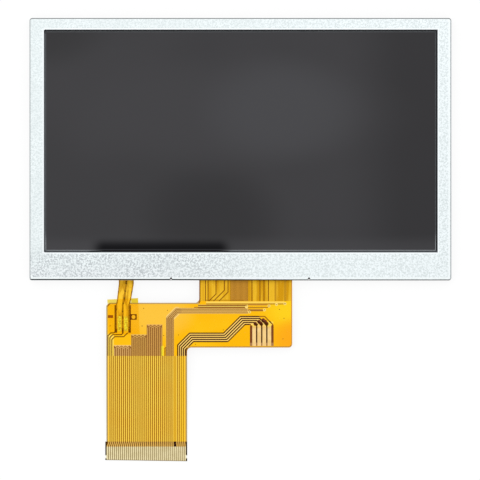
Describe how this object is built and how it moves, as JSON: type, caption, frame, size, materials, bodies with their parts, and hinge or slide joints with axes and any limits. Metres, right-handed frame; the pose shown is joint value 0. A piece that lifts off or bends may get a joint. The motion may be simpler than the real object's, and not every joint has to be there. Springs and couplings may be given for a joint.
{
  "type": "tft display module",
  "caption": "Bare flat-panel display module: steel bezel round a dark screen, with an amber flexible circuit that ends in a contact tail.",
  "frame": {"origin": "middle of the module's back face, on the surface that it lies on; the contact tail is left out of the middle", "axes": "+X to the right of the screen, +Y to the top of the screen, +Z out of the screen; the flexes leave towards -Y"},
  "size_m": [0.1054, 0.1109, 0.0029],
  "materials": {
    "bezel_steel": "spangled zinc coating, satin",
    "cover_steel": "satin",
    "polariser_film": "anti-glare",
    "panel_glass": "polished, with a black border",
    "seal_resin": "cured resin",
    "liquid_crystal": "thin clear layer",
    "chip_silicon": "polished dark silicon",
    "frame_plastic": "moulded white",
    "black_tape": "matt",
    "optical_film": "frosted",
    "clear_plastic": "clear, with a dot pattern",
    "white_film": "white",
    "diode_package": "white case with a yellow face",
    "polyimide_film": "amber film",
    "polyimide_cover": "clear amber film",
    "polyimide_tape": "clear amber tape",
    "copper": "rolled copper foil under film",
    "gold_plate": "thin gold plate",
    "solder": "reflowed solder",
    "capacitor_ceramic": "fired ceramic with tinned ends",
    "stiffener_board": "dark polyimide board"
  },
  "bodies": {
    "root": {"front_bezel": "bezel_steel", "front_polariser": "polariser_film", "filter_glass": "panel_glass", "cell_seal": "seal_resin", "liquid_crystal": "liquid_crystal", "array_glass": "panel_glass", "rear_polariser": "polariser_film", "driver_chip": "chip_silicon", "bonding_film": "seal_resin", "panel_frame": "frame_plastic", "rim_tape": "black_tape", "upper_diffuser": "optical_film", "upper_prism_sheet": "optical_film", "lower_prism_sheet": "optical_film", "lower_diffuser": "optical_film", "light_guide": "clear_plastic", "led_packages": "diode_package", "reflector_sheet": "white_film", "rear_cover": "cover_steel", "led_flex": "polyimide_film", "led_flex_copper": "copper", "led_flex_coverlay": "polyimide_cover", "solder_joints": "solder", "joint_tape": "polyimide_tape", "flex_base": "polyimide_film", "flex_copper": "copper", "flex_coverlay": "polyimide_cover", "flex_rear_copper": "copper", "flex_rear_coverlay": "polyimide_film", "rear_capacitors": "capacitor_ceramic", "tail_stiffener": "stiffener_board", "tail_contacts": "gold_plate", "touch_pads": "gold_plate"}
  },
  "joints": []
}
